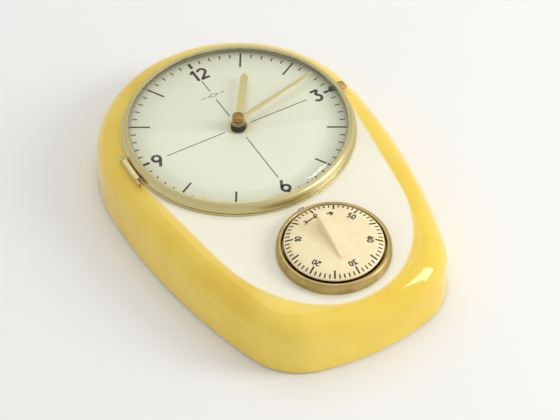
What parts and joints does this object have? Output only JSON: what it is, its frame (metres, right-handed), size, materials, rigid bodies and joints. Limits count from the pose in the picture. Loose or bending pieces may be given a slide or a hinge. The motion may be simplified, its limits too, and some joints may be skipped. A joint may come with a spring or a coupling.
{
  "type": "wall clock with kitchen timer",
  "caption": "Egg-shaped glazed ceramic wall clock with a hinged brass bezel and domed glass, gold hands, and a wind-up kitchen timer knob below the dial.",
  "frame": {"origin": "centre of the case's back rim, which is the plane of the wall and the plane it lies on", "axes": "+Z out of the front of the clock, +Y towards twelve o'clock, +X towards three o'clock"},
  "size_m": [0.1762, 0.26, 0.0565],
  "materials": {
    "glazed_ceramic": "glossy yellow and cream glaze",
    "brass_bezel": "satin lacquered brass",
    "brass_timer_ring": "satin darker brass",
    "brass_hands": "matt gilt",
    "brass_nut": "amber lacquered brass",
    "plate_brass": "rolled brass plate",
    "bright_steel": "turned steel",
    "spring_steel": "blued spring steel",
    "black_steel": "blackened steel",
    "painted_steel": "grey stove enamel",
    "printed_dial": "satin cream dial enamel",
    "clear_glass": "clear domed glass",
    "cream_knob": "moulded urea plastic",
    "rubber": "moulded rubber"
  },
  "bodies": {
    "case": {"ceramic_case": "glazed_ceramic", "back_cover": "painted_steel", "back_cover_screw_1": "bright_steel", "back_cover_screw_2": "bright_steel", "pan_ring_nut": "bright_steel", "rubber_seal_ring": "rubber", "dial_pan": "bright_steel", "dial_plate": "printed_dial", "dial_center_washer": "brass_bezel", "dial_center_nut": "black_steel", "bezel_base_ring": "brass_bezel", "hinge_leaf_case": "brass_bezel", "hinge_pin": "bright_steel", "catch_spring": "black_steel", "movement_front_plate": "plate_brass", "movement_rear_plate": "plate_brass", "movement_pillar_1": "bright_steel", "movement_pillar_2": "bright_steel", "movement_pillar_3": "bright_steel", "timer_ring": "brass_timer_ring", "timer_front_plate": "plate_brass", "timer_rear_plate": "plate_brass", "timer_pillar_1": "bright_steel", "timer_pillar_2": "bright_steel", "timer_pillar_3": "bright_steel", "timer_fixing_nut": "bright_steel", "timer_bell": "bright_steel", "timer_mainspring": "spring_steel"},
    "bezel": {"bezel_ring": "brass_bezel", "clock_glass": "clear_glass", "glass_retaining_ring": "brass_bezel", "hinge_leaf_bezel": "brass_bezel", "bezel_catch_tab": "brass_bezel"},
    "minute_arbor": {"minute_hand": "brass_hands", "hand_nut": "brass_nut", "cannon_pinion": "bright_steel", "setting_knob": "plate_brass"},
    "hour_pipe": {"hour_hand": "brass_hands", "hour_wheel": "plate_brass"},
    "minute_wheel": {"minute_wheel": "plate_brass"},
    "barrel": {"mainspring_barrel": "plate_brass", "mainspring": "spring_steel"},
    "winder": {"winding_arbor": "bright_steel", "winding_key": "bright_steel", "ratchet_wheel": "bright_steel"},
    "click": {"click": "bright_steel"},
    "center_wheel": {"center_wheel": "plate_brass"},
    "third_wheel": {"third_wheel": "plate_brass"},
    "fourth_wheel": {"fourth_wheel": "plate_brass"},
    "escape_wheel": {"escape_wheel": "plate_brass"},
    "pallet_lever": {"pallet_lever": "bright_steel"},
    "balance": {"balance_wheel": "plate_brass", "hairspring": "spring_steel"},
    "regulator": {"regulator_lever": "bright_steel"},
    "timer_knob": {"timer_knob": "cream_knob", "timer_shaft": "bright_steel", "timer_main_wheel": "plate_brass"},
    "timer_second": {"timer_second_wheel": "plate_brass"},
    "timer_escape": {"timer_escape_wheel": "plate_brass"},
    "timer_hammer": {"timer_hammer": "bright_steel"}
  },
  "joints": [
    {"name": "bezel_hinge", "type": "hinge", "parent": "case", "child": "bezel", "pos_m": [-0.0751, 0.0373, 0.0408], "axis": [0, -1, 0], "range_deg": [0, 110]},
    {"name": "minute_hand_turn", "type": "hinge", "parent": "case", "child": "minute_arbor", "pos_m": [0, 0.0373, 0.02], "axis": [0, 0, 1], "continuous": true},
    {"name": "hour_hand_turn", "type": "hinge", "parent": "case", "child": "hour_pipe", "pos_m": [0, 0.0373, 0.02], "axis": [0, 0, 1], "continuous": true},
    {"name": "minute_wheel_turn", "type": "hinge", "parent": "case", "child": "minute_wheel", "pos_m": [0.00625, 0.02647, 0.02], "axis": [0, 0, 1], "continuous": true},
    {"name": "barrel_turn", "type": "hinge", "parent": "case", "child": "barrel", "pos_m": [-0.01633, 0.02097, 0.02], "axis": [0, 0, 1], "continuous": true},
    {"name": "winding_turn", "type": "hinge", "parent": "case", "child": "winder", "pos_m": [-0.01633, 0.02097, 0.02], "axis": [0, 0, 1], "continuous": true},
    {"name": "click_pivot", "type": "hinge", "parent": "case", "child": "click", "pos_m": [-0.01083, 0.01144, 0.02], "axis": [0, 0, 1], "range_deg": [0, 12], "stiffness_Nm_per_rad": 0.002},
    {"name": "center_wheel_turn", "type": "hinge", "parent": "case", "child": "center_wheel", "pos_m": [0, 0.0373, 0.02], "axis": [0, 0, 1], "continuous": true},
    {"name": "third_wheel_turn", "type": "hinge", "parent": "case", "child": "third_wheel", "pos_m": [0.01273, 0.05003, 0.02], "axis": [0, 0, 1], "continuous": true},
    {"name": "fourth_wheel_turn", "type": "hinge", "parent": "case", "child": "fourth_wheel", "pos_m": [0.00191, 0.06085, 0.02], "axis": [0, 0, 1], "continuous": true},
    {"name": "escape_wheel_turn", "type": "hinge", "parent": "case", "child": "escape_wheel", "pos_m": [-0.01227, 0.06335, 0.02], "axis": [0, 0, 1], "continuous": true},
    {"name": "pallet_rock", "type": "hinge", "parent": "case", "child": "pallet_lever", "pos_m": [-0.02014, 0.05784, 0.02], "axis": [0, 0, 1], "range_deg": [-5, 5]},
    {"name": "balance_swing", "type": "hinge", "parent": "case", "child": "balance", "pos_m": [-0.03038, 0.05067, 0.02], "axis": [0, 0, 1], "range_deg": [-135, 135], "stiffness_Nm_per_rad": 0.00001},
    {"name": "regulator_turn", "type": "hinge", "parent": "case", "child": "regulator", "pos_m": [-0.03038, 0.05067, 0.02], "axis": [0, 0, 1], "range_deg": [-15, 15]},
    {"name": "timer_knob_turn", "type": "hinge", "parent": "case", "child": "timer_knob", "pos_m": [0, -0.0781, 0.02], "axis": [0, 0, -1], "range_deg": [0, 345]},
    {"name": "timer_second_turn", "type": "hinge", "parent": "case", "child": "timer_second", "pos_m": [-0.01597, -0.08391, 0.02], "axis": [0, 0, 1], "range_deg": [0, 2650]},
    {"name": "timer_escape_turn", "type": "hinge", "parent": "case", "child": "timer_escape", "pos_m": [-0.01214, -0.09444, 0.02], "axis": [0, 0, 1], "range_deg": [-15700, 0]},
    {"name": "hammer_swing", "type": "hinge", "parent": "case", "child": "timer_hammer", "pos_m": [0.02161, -0.07023, 0.02], "axis": [0, 0, 1], "range_deg": [-10, 2]}
  ],
  "couplings": [
    {"joint": "hour_hand_turn", "follows": "minute_hand_turn", "ratio": 0.083333},
    {"joint": "minute_wheel_turn", "follows": "minute_hand_turn", "ratio": -0.33333},
    {"joint": "third_wheel_turn", "follows": "fourth_wheel_turn", "ratio": -0.125},
    {"joint": "center_wheel_turn", "follows": "fourth_wheel_turn", "ratio": 0.016667},
    {"joint": "barrel_turn", "follows": "fourth_wheel_turn", "ratio": -0.0027778},
    {"joint": "escape_wheel_turn", "follows": "fourth_wheel_turn", "ratio": -8},
    {"joint": "timer_second_turn", "follows": "timer_knob_turn", "ratio": 7.5},
    {"joint": "timer_escape_turn", "follows": "timer_knob_turn", "ratio": -45}
  ]
}
